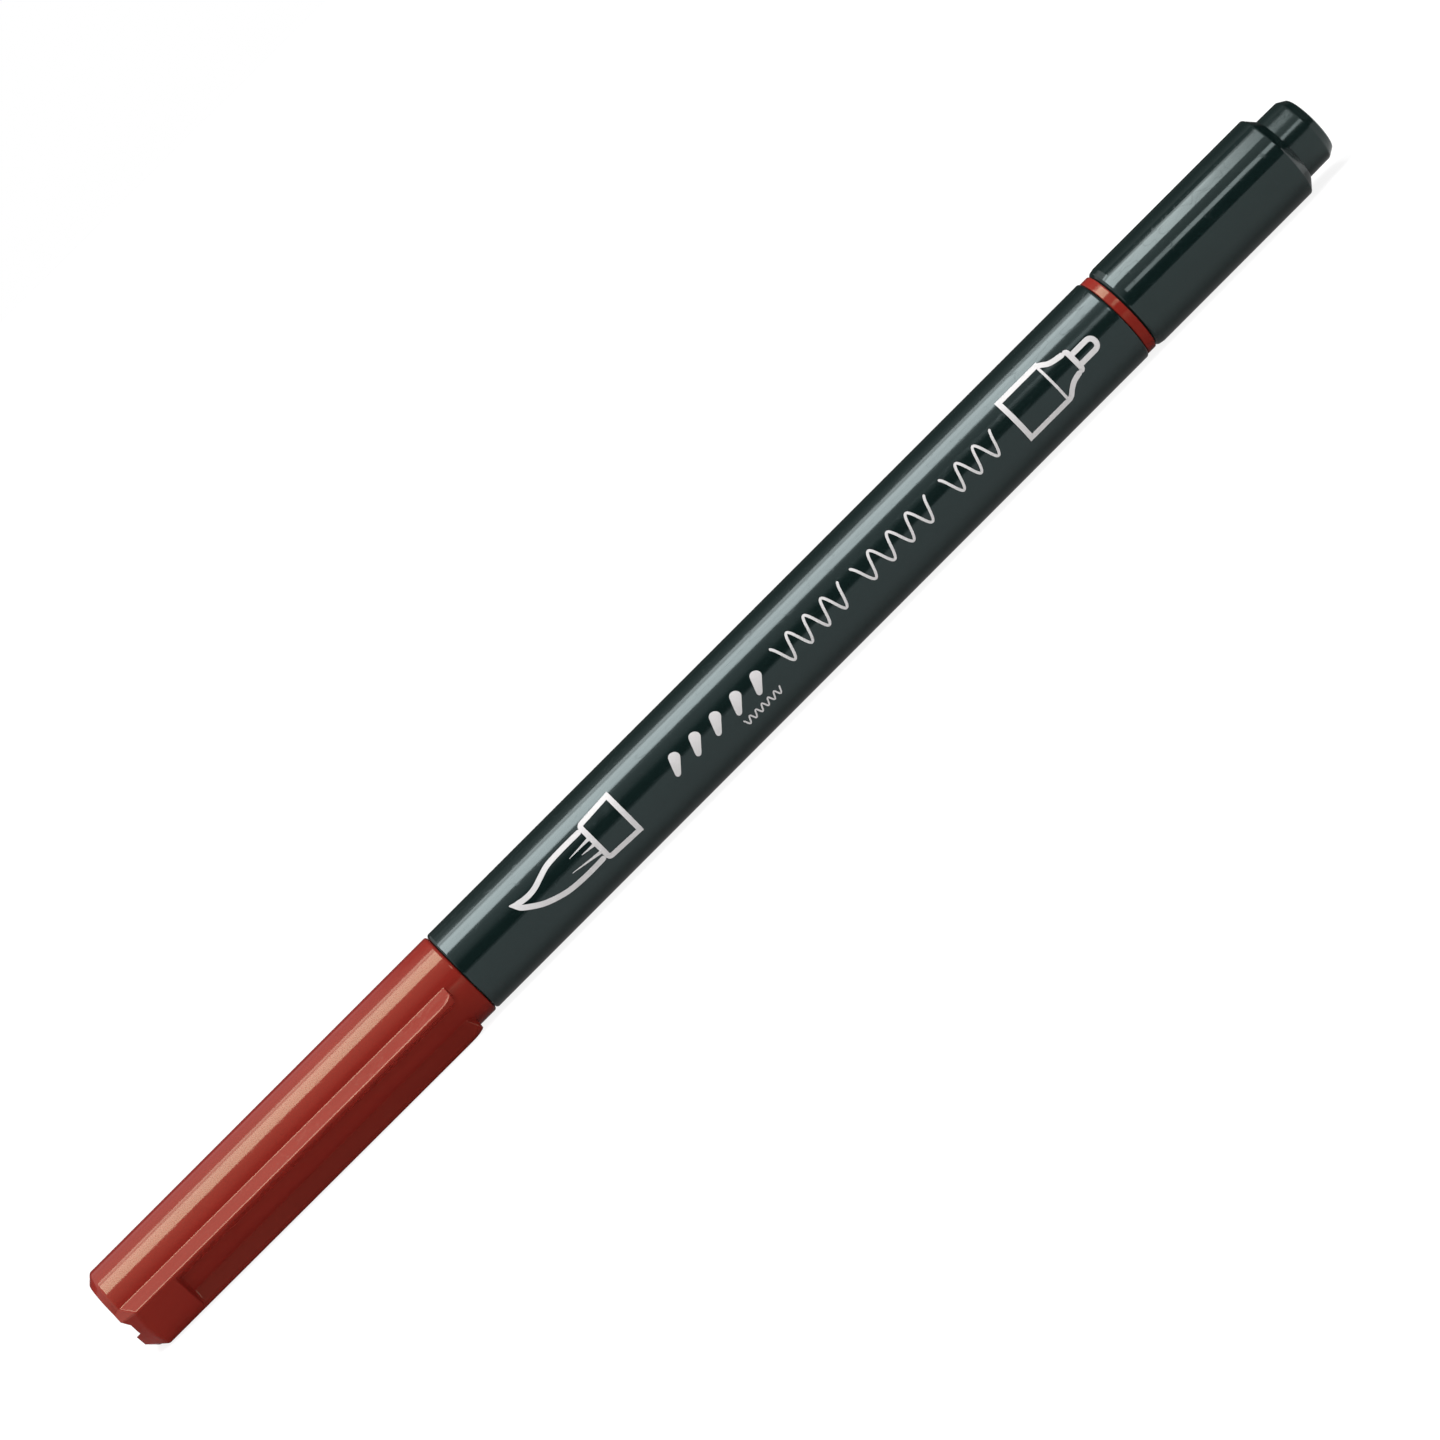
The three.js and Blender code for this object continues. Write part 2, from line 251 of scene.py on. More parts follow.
def black_cap_plastic():
    """Moulded glossy black sleeve: smoother than the barrel, with a soft waviness."""
    shade = Shade("black_cap_plastic", IOR=1.43, Specular_Tint=(0.84, 1.0, 1.0, 1.0))
    mottle = shade.noise((0.3, 0.5, 0.5), detail=3.0)
    shade.mixed_colour(mottle, 0.3, 0.7, (0.0026, 0.0080, 0.0076), (0.0036, 0.0096, 0.0090))
    smear = shade.noise((0.25, 0.9, 0.9), detail=4.0)
    hairlines = shade.scratches((0.5, 0.9, 0.9), 0.016)
    base = shade.scaled(smear, 0.3, 0.7, 0.06, 0.11)
    shade.rough(shade.math("ADD", base, shade.math("MULTIPLY", hairlines, 0.12)))
    shade.bump(shade.noise((0.12, 0.3, 0.3), detail=1.0), 3.0)
    shade.bump(shade.noise((0.03, 2.5, 2.5), detail=2.0), 0.8)
    shade.bump(hairlines, -0.2)
    return shade.material


def black_plug_plastic():
    """The nose: duller black moulding with an uneven, slightly grained surface."""
    shade = Shade("black_plug_plastic", IOR=1.43, Specular_Tint=(0.84, 1.0, 1.0, 1.0))
    mottle = shade.noise((0.6, 0.6, 0.6), detail=3.0)
    shade.mixed_colour(mottle, 0.3, 0.7, (0.0034, 0.0090, 0.0084), (0.0050, 0.0115, 0.0108))
    grain = shade.noise((7.0, 7.0, 7.0), detail=4.0, roughness=0.6)
    shade.rough(shade.scaled(grain, 0.3, 0.7, 0.10, 0.20))
    shade.bump(shade.noise((0.35, 0.5, 0.5), detail=2.0), 14.0)
    shade.bump(grain, 1.2)
    return shade.material


def black_grip_plastic():
    """Satin black grip sections, spark-eroded mould finish."""
    shade = Shade("black_grip_plastic", IOR=1.49)
    mottle = shade.noise((0.4, 0.4, 0.4), detail=3.0)
    shade.mixed_colour(mottle, 0.3, 0.7, (0.0070, 0.0095, 0.0092), (0.0100, 0.0130, 0.0126))
    grain = shade.noise((12.0, 12.0, 12.0), detail=5.0, roughness=0.65)
    shade.rough(shade.scaled(grain, 0.3, 0.7, 0.3, 0.46))
    shade.bump(grain, 3.0)
    return shade.material


def red_cap_plastic():
    """Glossy red moulding: flow marks in the colour, soft waviness, hairline scratches."""
    shade = Shade("red_cap_plastic", IOR=1.36, Specular_Tint=(1.0, 0.93, 0.62, 1.0))
    flow = shade.noise((0.06, 0.45, 0.45), detail=4.0, distortion=0.4)
    shade.mixed_colour(flow, 0.3, 0.7, (0.184, 0.0144, 0.0098), (0.206, 0.0170, 0.0118))
    haze = shade.noise((0.3, 1.2, 1.2), detail=4.0)
    hairlines = shade.scratches((0.4, 0.8, 0.8), 0.016)
    base = shade.scaled(haze, 0.3, 0.7, 0.07, 0.12)
    shade.rough(shade.math("ADD", base, shade.math("MULTIPLY", hairlines, 0.12)))
    shade.bump(shade.noise((0.1, 0.3, 0.3), detail=1.0), 2.0)
    shade.bump(shade.noise((0.05, 1.2, 1.2), detail=1.0), 0.3)
    shade.bump(hairlines, -0.03)
    # the underside hardly mirrors the pale floor
    facing = shade.nodes.new("ShaderNodeTexCoord").outputs["Normal"]
    split = shade.nodes.new("ShaderNodeSeparateXYZ")
    shade.links.new(facing, split.inputs["Vector"])
    gloss = shade.scaled(split.outputs["Z"], -0.08, 0.08, 0.08, 0.5)
    shade.links.new(gloss, shade.shader.inputs["Specular IOR Level"])
    return shade.material


def liner_plastic():
    """Milky unpigmented polypropylene of the liner and the collar."""
    shade = Shade("liner_plastic", IOR=1.49, Subsurface_Weight=0.15, Subsurface_Scale=0.0006)
    cloud = shade.noise((0.3, 0.5, 0.5), detail=3.0)
    shade.mixed_colour(cloud, 0.3, 0.7, (0.70, 0.68, 0.62), (0.80, 0.79, 0.74))
    grain = shade.noise((6.0, 6.0, 6.0), detail=4.0)
    shade.rough(shade.scaled(grain, 0.3, 0.7, 0.34, 0.5))
    shade.bump(grain, 1.5)
    return shade.material


def film_plastic():
    """Thin clear film wrapped round the ink core."""
    shade = Shade("film_plastic", IOR=1.5, Transmission_Weight=0.9)
    wrinkle = shade.noise((0.3, 1.0, 1.0), detail=4.0)
    shade.mixed_colour(wrinkle, 0.3, 0.7, (0.86, 0.89, 0.92), (0.94, 0.95, 0.96))
    shade.rough(shade.scaled(wrinkle, 0.3, 0.7, 0.05, 0.15))
    shade.bump(wrinkle, 12.0)
    return shade.material


def ink_felt():
    """Bonded fibre soaked in black ink: fine strands along the pen."""
    shade = Shade("ink_felt", IOR=1.4)
    strands = shade.noise((0.25, 14.0, 14.0), detail=4.0, roughness=0.7)
    shade.mixed_colour(strands, 0.3, 0.75, (0.0035, 0.0040, 0.0060), (0.0220, 0.0230, 0.0290))
    shade.rough(shade.scaled(strands, 0.3, 0.7, 0.6, 0.95))
    shade.bump(strands, 45.0)
    return shade.material


def bristle_fibre():
    """Nylon filaments wet with black ink."""
    shade = Shade("bristle_fibre", IOR=1.53, Sheen_Weight=0.1)
    strands = shade.noise((0.5, 9.0, 9.0), detail=3.0)
    shade.mixed_colour(strands, 0.3, 0.7, (0.0060, 0.0062, 0.0080), (0.0240, 0.0235, 0.0270))
    shade.rough(shade.scaled(strands, 0.3, 0.7, 0.28, 0.5))
    shade.bump(strands, 4.0)
    return shade.material


def nib_felt():
    """Hard fibre nib, stained by the ink."""
    shade = Shade("nib_felt", IOR=1.45)
    strands = shade.noise((0.6, 16.0, 16.0), detail=4.0, roughness=0.65)
    shade.mixed_colour(strands, 0.3, 0.75, (0.0060, 0.0060, 0.0075), (0.0330, 0.0320, 0.0350))
    shade.rough(shade.scaled(strands, 0.3, 0.7, 0.5, 0.8))
    shade.bump(strands, 16.0)
    return shade.material


def silver_ink():
    """Silver screen-printing ink: metal flakes in a matt binder, slightly uneven cover."""
    shade = Shade("silver_ink", Metallic=0.12, IOR=1.4)
    flakes = shade.noise((26.0, 26.0, 26.0), detail=3.0, roughness=0.7)
    shade.mixed_colour(flakes, 0.3, 0.7, (0.49, 0.475, 0.475), (0.65, 0.635, 0.635))
    shade.rough(shade.scaled(flakes, 0.3, 0.7, 0.5, 0.68))
    shade.bump(flakes, 2.5)
    return shade.material


BARREL_BLACK = black_barrel_plastic()
CAP_BLACK = black_cap_plastic()
PLUG_BLACK = black_plug_plastic()
GRIP_BLACK = black_grip_plastic()
CAP_RED = red_cap_plastic()
MILKY = liner_plastic()
FILM = film_plastic()
INK_FELT = ink_felt()
BRISTLE = bristle_fibre()
NIB_FELT = nib_felt()
SILVER = silver_ink()


# ========================================================================================== meshes


def piece(name, vertices, faces, material, body, stands_for=()):
    """A smooth piece on a CAD body, made of vertices in metres, with its faces turned outwards."""
    mesh = bpy.data.meshes.new(name)
    mesh.from_pydata([tuple(v) for v in vertices], [], faces)
    work = bmesh.new()
    work.from_mesh(mesh)
    bmesh.ops.recalc_face_normals(work, faces=work.faces)
    work.to_mesh(mesh)
    work.free()
    mesh.shade_smooth()
    mesh.materials.append(material)
    made = bpy.data.objects.new(name, mesh)
    bpy.context.scene.collection.objects.link(made)
    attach(made, body)
    if stands_for:
        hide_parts(*stands_for)
    return made


def rounded(corners, closed=True, steps=ARC_STEPS, support=SUPPORT):
    """Outline through (a, b, round) corners: each corner with a round becomes an arc with supports."""
    points = []
    count = len(corners)
    for i, (a, b, radius) in enumerate(corners):
        here = Vector((a, b))
        at_end = not closed and i in (0, count - 1)
        if radius == 0 or at_end:
            points.append(here)
            continue
        back = Vector(corners[i - 1][:2]) - here
        ahead = Vector(corners[(i + 1) % count][:2]) - here
        half = back.angle(ahead) / 2
        longest = 0.45 * min(back.length, ahead.length)
        reach = min(radius / math.tan(half), longest)
        radius = reach * math.tan(half)
        middle = here + (back.normalized() + ahead.normalized()).normalized() * radius / math.sin(half)
        first = here + back.normalized() * reach - middle
        last = here + ahead.normalized() * reach - middle
        sweep = first.angle(last)
        if support and reach + 2 * support < 0.5 * back.length:
            points.append(here + back.normalized() * (reach + support))
        for k in range(steps + 1):
            t = k / steps
            share = math.sin((1 - t) * sweep) * first + math.sin(t * sweep) * last
            points.append(middle + share / math.sin(sweep))
        if support and reach + 2 * support < 0.5 * ahead.length:
            points.append(here + ahead.normalized() * (reach + support))
    return points


def lathe_mesh(outline, steps=ROUND_STEPS):
    """Vertices and faces of an outline of (x, radius) points turned about X."""
    vertices, rings, faces = [], [], []
    for x, radius in outline:
        if radius < 1e-6:
            rings.append([len(vertices)] * steps)
            vertices.append(around(x, 0.0, 0.0))
            continue
        first = len(vertices)
        rings.append(list(range(first, first + steps)))
        vertices.extend(around(x, radius, 360.0 * k / steps) for k in range(steps))
    for i, ring in enumerate(rings):
        after = rings[(i + 1) % len(rings)]
        if ring[0] == ring[1] and after[0] == after[1]:
            continue  # both on the axis, where the outline closes
        for k in range(steps):
            n = (k + 1) % steps
            corner = [ring[k], ring[n], after[n], after[k]]
            faces.append(list(dict.fromkeys(corner)))
    return vertices, faces


def lathe(name, corners, material, body, node, steps=ROUND_STEPS):
    vertices, faces = lathe_mesh(rounded(corners), steps)
    return piece(name, vertices, faces, material, body, [node])


# ---- barrel and ring ----


def make_barrel():
    start, end = span("barrel")
    cap_mouth = span("brush_cap")[1]
    ring_start = span("colour_ring")[0]
    return lathe(
        "barrel_tube",
        [
            (cap_mouth + SEAM, SOCKET_R, 0.08),
            (cap_mouth + SEAM, BODY_R, 0.3),
            (ring_start - SEAM, BODY_R, 0.3),
            (ring_start - SEAM, SOCKET_R, 0.08),
            (end - SOCKET_LENGTH, SOCKET_R, 0.1),
            (end - SOCKET_LENGTH - 0.4, INNER_BORE_R, 0.1),
            (start + SOCKET_LENGTH + 0.4, INNER_BORE_R, 0.1),
            (start + SOCKET_LENGTH, SOCKET_R, 0.1),
        ],
        BARREL_BLACK,
        "pen",
        "barrel",
    )


def make_ring():
    start = span("colour_ring")[0]
    end = span("fine_cap")[0] - SEAM
    return lathe(
        "colour_ring_band",
        [
            (start, RING_BORE_R, 0.05),
            (start, RING_R, 0.1),
            (end, RING_R, 0.1),
            (end, RING_BORE_R, 0.05),
        ],
        CAP_RED,
        "pen",
        "colour_ring",
    )


# ---- red cap ----


def smooth_max(a, b, blend):
    """The larger of two values, with the change between them rounded."""
    near = max(blend - abs(a - b), 0.0) / blend
    return max(a, b) + near * near * blend / 4


def smooth_min(a, b, blend):
    return -smooth_max(-a, -b, blend)


def smooth_step(value, start, end):
    t = min(max((value - start) / (end - start), 0.0), 1.0)
    return t * t * (3 - 2 * t)


def face_radius(normal, angle):
    """Radius, at that angle, of the flat face that touches the crest's rounding at that normal."""
    distance = CREST_CENTRE_R * math.cos(math.radians(normal - CREST_ANGLE)) + CREST_ROUND
    slope = math.cos(math.radians(normal - angle))
    return distance / slope if slope > 0.05 else math.inf


def touch_angle(normal):
    """Angle at which a face with that normal meets the crest's rounding."""
    crest, out = math.radians(CREST_ANGLE), math.radians(normal)
    along = CREST_CENTRE_R * math.cos(crest) + CREST_ROUND * math.cos(out)
    across = CREST_CENTRE_R * math.sin(crest) + CREST_ROUND * math.sin(out)
    return math.degrees(math.atan2(across, along))


OUTER_TOUCH = touch_angle(OUTER_NORMAL)
INNER_TOUCH = touch_angle(INNER_NORMAL)
PAD_TOUCH = touch_angle(0.0)


def crest_radius(angle):
    """Radius of the crest's rounding at that angle from the middle plane."""
    off = math.radians(angle - CREST_ANGLE)
    inside = CREST_ROUND**2 - (CREST_CENTRE_R * math.sin(off)) ** 2
    return CREST_CENTRE_R * math.cos(off) + math.sqrt(max(inside, 0.0))


def ridge_radius(angle, with_pad):
    """Radius of the cap's full section, at an angle of 0 or more from the middle plane."""
    inner_normal = 0.0 if with_pad else INNER_NORMAL
    inner_touch = PAD_TOUCH if with_pad else INNER_TOUCH
    if angle > OUTER_TOUCH:
        top = face_radius(OUTER_NORMAL, angle)
    elif angle > inner_touch:
        top = crest_radius(angle)
    else:
        top = face_radius(inner_normal, angle)
    beyond = angle > 60.0 or (angle < 5.0 and not with_pad)
    return BODY_R if beyond else smooth_max(top, BODY_R, FOOT_BLEND)


def ridge_wall(angle):
    """Where the ridges' wall at the mouth end stands, at that angle from the middle plane."""
    inwards = min(max((24.4 - angle) / 10.7, 0.0), 1.0)
    return RIDGE_END - RIDGE_END_SLANT * inwards * inwards


def cap_surface(station, angle):
    """(x, radius) of the cap's outside; station is x before it is bent round the ridges' ends."""
    rise = smooth_step(station, RIDGE_END - 1.8, RIDGE_END - 0.5)
    near_wall = rise * (1 - smooth_step(station, RIDGE_END + 0.3, RIDGE_END + 1.1))
    x = station + (ridge_wall(angle) - RIDGE_END) * near_wall
    plain = ridge_radius(angle, False)
    pad = ridge_radius(angle, True)
    over = min(max((station - (PAD_END - PAD_ROUND)) / PAD_ROUND, 0.0), 1.0)
    pad_top = pad - PAD_ROUND * (1 - math.sqrt(1 - over * over))
    step = smooth_step(station, PAD_END + PAD_STEP[0], PAD_END + PAD_STEP[1])
    full = max(pad_top, plain) * (1 - step) + plain * step
    # the ridges curve down and stop short of the mouth
    u = min(max(1 + (x - RIDGE_END) / RIDGE_END_ROUND, 0.0), 1.0)
    ceiling = RIDGE_END_DROP_R + (RIDGE_TOP_R - RIDGE_END_DROP_R) * math.sqrt(1 - u * u)
    full = smooth_min(full, ceiling, FOOT_BLEND) if u > 0 else full
    stop = smooth_step(station, RIDGE_END - 0.05, RIDGE_END + 0.08)
    full = full * (1 - stop) + BODY_R * stop
    # the closed end's bevel
    bevel = CAP_END_FLAT_R + BEVEL_STRETCH * (full - BODY_R) + x
    return x, smooth_min(full, bevel, END_BEVEL_BLEND) if x < 4 else full


def steps_between(stops):
    """Values from (from, to, step) stretches, each end once."""
    values = []
    for start, end, step in stops:
        count = max(1, round((end - start) / step))
        values.extend(start + (end - start) * k / count for k in range(count))
    return values + [stops[-1][1]]


def cap_columns():
    """Angles from the middle plane all round the cap, close together where the section bends."""
    side = steps_between(
        [
            (0.0, 11.1, 1.5),
            (11.1, 15.6, 0.3),
            (15.6, 19.2, 0.6),
            (19.2, 25.4, 0.31),
            (25.4, 34.4, 0.9),
            (34.4, 38.8, 0.4),
            (38.8, 180.0, 2.0),
        ]
    )
    return [-a for a in reversed(side[1:-1])] + side


def cap_stations():
    """Lengthwise stations of the cap's outside, close together at its edges."""
    return steps_between(
        [
            (0.0, 0.12, 0.03),
            (0.12, 0.7, 0.1),
            (0.7, 1.3, 0.06),
            (1.3, 2.6, 0.13),
            (2.6, PAD_END - 0.42, 0.6),
            (PAD_END - 0.42, PAD_END + 0.3, 0.03),
            (PAD_END + 0.3, PAD_END + 0.5, 0.1),
            (PAD_END + 0.5, RIDGE_END - 3.0, 2.4),
            (RIDGE_END - 3.0, RIDGE_END - 1.2, 0.2),
            (RIDGE_END - 1.2, RIDGE_END - 0.1, 0.1),
            (RIDGE_END - 0.1, RIDGE_END + 0.1, 0.02),
            (RIDGE_END + 0.1, RIDGE_END + 0.5, 0.1),
            (RIDGE_END + 0.5, RIDGE_END + 1.1, 0.2),
        ]
    )


def groove_cutter():
    """A bar that cuts the vent groove straight across the closed end."""
    section = [
        (-1.0, GROOVE_SLOPE_FROM),
        (0.0, GROOVE_SLOPE_FROM),
        (GROOVE_DEPTH, GROOVE_FLOOR[0]),
        (GROOVE_DEPTH, GROOVE_FLOOR[1]),
        (-1.0, GROOVE_FLOOR[1]),
    ]
    reach = 8.0
    sideways = around(0.0, 1.0, FACING) * reach
    corners = [around(x, out, FACING + 90.0) for x, out in section]
    vertices = [c + s for s in (sideways, -sideways) for c in corners]
    count = len(section)
    faces = [list(range(count)), list(range(count, 2 * count))]
    for k in range(count):
        n = (k + 1) % count
        faces.append([k, n, n + count, k + count])
    mesh = bpy.data.meshes.new("groove_cutter")
    mesh.from_pydata([tuple(v) for v in vertices], [], faces)
    work = bmesh.new()
    work.from_mesh(mesh)
    bmesh.ops.recalc_face_normals(work, faces=work.faces)
    work.to_mesh(mesh)
    work.free()
    cutter = bpy.data.objects.new("groove_cutter", mesh)
    bpy.context.scene.collection.objects.link(cutter)
    return cutter


def make_brush_cap():
    """The red shell: ridged outside, rounded mouth and a plain bore, as one closed mesh."""
    mouth = span("brush_cap")[1]
    columns = cap_columns()
    mouth_profile = rounded(
        [
            (mouth - 1.0, BODY_R, 0.0),
            (mouth, BODY_R, 0.33),
            (mouth, CAP_MOUTH_BORE_R, 0.12),
            (CAP_FLOOR, CAP_MOUTH_BORE_R, 0.3),
            (CAP_FLOOR, 0.0, 0.0),
        ],
        closed=False,
    )
    stations = [s for s in cap_stations() if s < mouth - 0.99]
    rings = []
    rings.append([(0.0, 0.0)])
    rings.append([(0.0, CAP_END_FLAT_R - 0.25)] * len(columns))
    rings.append([(0.0, CAP_END_FLAT_R - 0.08)] * len(columns))
    for station in stations:
        rings.append([cap_surface(station, abs(a)) for a in columns])
    for x, radius in mouth_profile[1:-1]:
        rings.append([(x, radius)] * len(columns))
    rings.append([(CAP_FLOOR, 0.0)])

    vertices, numbers = [], []
    for ring in rings:
        if len(ring) == 1:
            numbers.append([len(vertices)] * len(columns))
            vertices.append(around(ring[0][0], 0.0, 0.0))
            continue
        first = len(vertices)
        numbers.append(list(range(first, first + len(columns))))
        for (x, radius), angle in zip(ring, columns):
            wind = RIDGE_WIND * (x / RIDGE_END - 0.5)
            vertices.append(around(x, radius, RIDGE_MIDDLE + angle + wind))
    faces = []
    for ring, after in zip(numbers, numbers[1:]):
        for k in range(len(columns)):
            n = (k + 1) % len(columns)
            faces.append(list(dict.fromkeys([ring[k], ring[n], after[n], after[k]])))

    shell = piece("brush_cap_shell", vertices, faces, CAP_RED, "brush_cap", ["brush_cap"])
    cut_groove(shell)
    return shell


def cut_groove(shell):
    """Cuts the vent groove out of the shell and keeps the cut's edges crisp."""
    cutter = groove_cutter()
    cut = shell.modifiers.new("groove", "BOOLEAN")
    cut.operation = "DIFFERENCE"
    cut.solver = "EXACT"
    cut.object = cutter
    bpy.context.view_layer.update()
    graph = bpy.context.evaluated_depsgraph_get()
    result = bpy.data.meshes.new_from_object(shell.evaluated_get(graph))
    shell.modifiers.clear()
    shell.data = result
    bpy.data.objects.remove(cutter)
    result.shade_smooth()
    result.set_sharp_from_angle(angle=math.radians(GROOVE_SHARP))


# ---- inside the red cap ----


def make_brush_cap_liner():
    start, end = span("brush_inner_cap")
    return lathe(
        "brush_cap_liner",
        [
            (start, 0.0, 0.0),
            (start, 3.95, 0.3),
            (end - 0.4, 3.95, 0.15),
            (end, 3.7, 0.12),
            (end, 3.22, 0.08),
            (end - 1.3, 3.2, 0.1),
            (end - 1.7, 3.35, 0.1),
            (start + 0.8, 3.35, 0.4),
            (start + 0.8, 0.0, 0.0),
        ],
        MILKY,
        "brush_cap",
        "brush_inner_cap",
    )


def make_brush_grip():
    start, end = span("brush_section")
    barrel_start = span("barrel")[0]
    seat = barrel_start - 8.3
    return lathe(
        "brush_grip",
        [
            (start, SECTION_BORE_R, 0.06),
            (start, 2.66, 0.18),
            (35.4, 3.1, 0.6),
            (36.2, 3.1, 0.3),
            (seat, 3.65, 0.15),
            (seat + 0.4, 3.85, 0.15),
            (40.2, 3.85, 0.2),
            (40.5, 3.98, 0.2),
            (41.1, 3.98, 0.2),
            (41.4, 3.85, 0.2),
            (barrel_start - 0.15, 3.85, 0.05),
            (barrel_start + 0.05, 3.75, 0.05),
            (55.0, 3.75, 0.2),
            (end, 3.35, 0.1),
            (end, SECTION_BORE_R, 0.06),
        ],
        GRIP_BLACK,
        "pen",
        "brush_section",
    )


def make_brush_bush():
    start, end = span("brush_collar")
    return lathe(
        "brush_bush",
        [(start, 1.72, 0.06), (start, 2.2, 0.12), (end, 2.2, 0.12), (end, 1.72, 0.06)],
        MILKY,
        "pen",
        "brush_collar",
        steps=96,
    )


BRISTLES = 620
BRISTLE_BELLY_R = 2.0
BRISTLE_ROOT_R = 1.6
BRISTLE_THICKNESS = 0.075
BRISTLE_LENGTH = 16.2
BRISTLE_SIDES = 5
BRISTLE_STEPS = 14


def belly(distance):
    """Radius of the bristle bundle at that distance behind its point."""
    swell = math.sin(math.pi / 2 * min(distance / 12.0, 1.0)) ** 0.9
    neck = smooth_step(distance, 13.0, 15.6)
    return BRISTLE_BELLY_R * swell * (1 - neck) + BRISTLE_ROOT_R * neck


def make_bristles():
    """Tapered filaments that leave the collar together and close to one point, round a solid core."""
    point, root = span("brush_tip")
    chance = random.Random(11)
    core = rounded(
        [
            (point + 1.2, 0.0, 0.0),
            (point + 3.5, belly(3.5) * 0.8, 1.0),
            (point + 7.0, belly(7.0) * 0.9, 2.0),
            (point + 12.0, BRISTLE_BELLY_R * 0.92, 1.5),
            (point + 16.0, BRISTLE_ROOT_R * 0.95, 0.4),
            (root, BRISTLE_ROOT_R * 0.95, 0.1),
            (root, 1.05, 0.1),
            (root - 3.4, 1.05, 0.1),
            (root - 3.4, 0.0, 0.0),
        ],
    )
    vertices, faces = lathe_mesh(core, 64)
    for _ in range(BRISTLES):
        out = math.sqrt(chance.uniform(0.35, 1.0))
        turn = chance.uniform(0.0, 360.0)
        short = chance.uniform(0.0, 0.5) + 3.2 * out**3 * chance.random() ** 2
        curl = chance.gauss(0.0, 2.5)
        first = len(vertices)
        for k in range(BRISTLE_STEPS + 1):
            distance = short + (BRISTLE_LENGTH - short) * (k / BRISTLE_STEPS) ** 1.25
            along = distance - short
            width = BRISTLE_THICKNESS * min(1.0, 0.12 + along / 5.0) / 2
            reach = max(belly(distance) * out - width, 0.0)
            x = point + distance
            centre = around(x, reach, turn + curl * (1 - distance / BRISTLE_LENGTH))
            for s in range(BRISTLE_SIDES):
                vertices.append(centre + around(0.0, width, 360.0 * s / BRISTLE_SIDES))
        for k in range(BRISTLE_STEPS):
            ring = first + k * BRISTLE_SIDES
            for s in range(BRISTLE_SIDES):
                a, b = ring + s, ring + (s + 1) % BRISTLE_SIDES
                faces.append([a, b, b + BRISTLE_SIDES, a + BRISTLE_SIDES])
        last = first + BRISTLE_STEPS * BRISTLE_SIDES
        faces.append([first + s for s in range(BRISTLE_SIDES)])
        faces.append([last + s for s in range(BRISTLE_SIDES)])
    return piece("bristle_bundle", vertices, faces, BRISTLE, "pen", ["brush_tip"])


def make_feed_wick():
    start, end = span("brush_feed")
    return lathe(
        "feed_wick",
        [(start, 0.0, 0.0), (start, 0.9, 0.3), (end, 0.9, 0.3), (end, 0.0, 0.0)],
        INK_FELT,
        "pen",
        "brush_feed",
        steps=64,
    )


# ---- ink core ----


def make_ink_core():
    start, end = span("reservoir_core")
    return lathe(
        "ink_core",
        [
            (start, 1.0, 0.05),
            (start, 3.25, 0.15),
            (end, 3.25, 0.15),
            (end, 0.72, 0.05),
            (end - 5.4, 0.72, 0.0),
            (end - 5.4, 0.0, 0.0),
            (start + 5.8, 0.0, 0.0),
            (start + 5.8, 1.0, 0.0),
        ],
        INK_FELT,
        "pen",
        "reservoir_core",
        steps=96,
    )


def make_core_film():
    start, end = span("reservoir_film")
    return lathe(
        "core_film",
        [(start, 3.33, 0.03), (start, 3.45, 0.03), (end, 3.45, 0.03), (end, 3.33, 0.03)],
        FILM,
        "pen",
        "reservoir_film",
        steps=96,
    )


# ---- fine end ----


def make_fine_grip():
    start, end = span("fine_section")
    barrel_end = span("barrel")[1]
    return lathe(
        "fine_grip",
        [
            (start, 2.3, 0.06),
            (start, 3.35, 0.1),
            (start + 0.5, 3.75, 0.2),
            (barrel_end - 0.05, 3.75, 0.05),
            (barrel_end + 0.15, 3.85, 0.05),
            (136.2, 3.85, 0.2),
            (136.5, 3.98, 0.2),
            (137.1, 3.98, 0.2),
            (137.4, 3.85, 0.2),
            (140.6, 3.85, 0.15),
            (141.0, 3.65, 0.15),
            (141.8, 3.05, 0.25),
            (143.4, 3.0, 0.6),
            (end - 0.3, 1.35, 0.2),
            (end, 1.1, 0.08),
            (end, 0.72, 0.04),
            (128.0, 0.72, 0.0),
            (126.0, 2.3, 0.0),
        ],
        GRIP_BLACK,
        "pen",
        "fine_section",
    )


def make_fine_point():
    start, end = span("fine_nib")
    return lathe(
        "fine_point",
        [
            (start, 0.0, 0.0),
            (start, 0.6, 0.2),
            (end - 0.9, 0.6, 0.5),
            (end - 0.2, 0.42, 0.25),
            (end, 0.0, 0.0),
        ],
        NIB_FELT,
        "pen",
        "fine_nib",
        steps=64,
    )


def make_fine_cap_sleeve():
    start, end = span("fine_cap")
    shoulder = end - 0.9
    hole = 3.72
    return lathe(
        "fine_cap_sleeve",
        [
            (start, CAP_MOUTH_BORE_R, 0.05),
            (start, 4.35, 0.1),
            (start + 0.35, FINE_CAP_R - 0.12, 0.2),
            (start + 0.95, FINE_CAP_R, 0.2),
            (shoulder, FINE_CAP_R, 0.22),
            (end, hole + 0.08, 0.06),
            (end, hole, 0.02),
            (end - 1.7, hole, 0.05),
            (end - 1.7, CAP_MOUTH_BORE_R, 0.05),
        ],
        CAP_BLACK,
        "fine_cap",
        "fine_cap",
    )


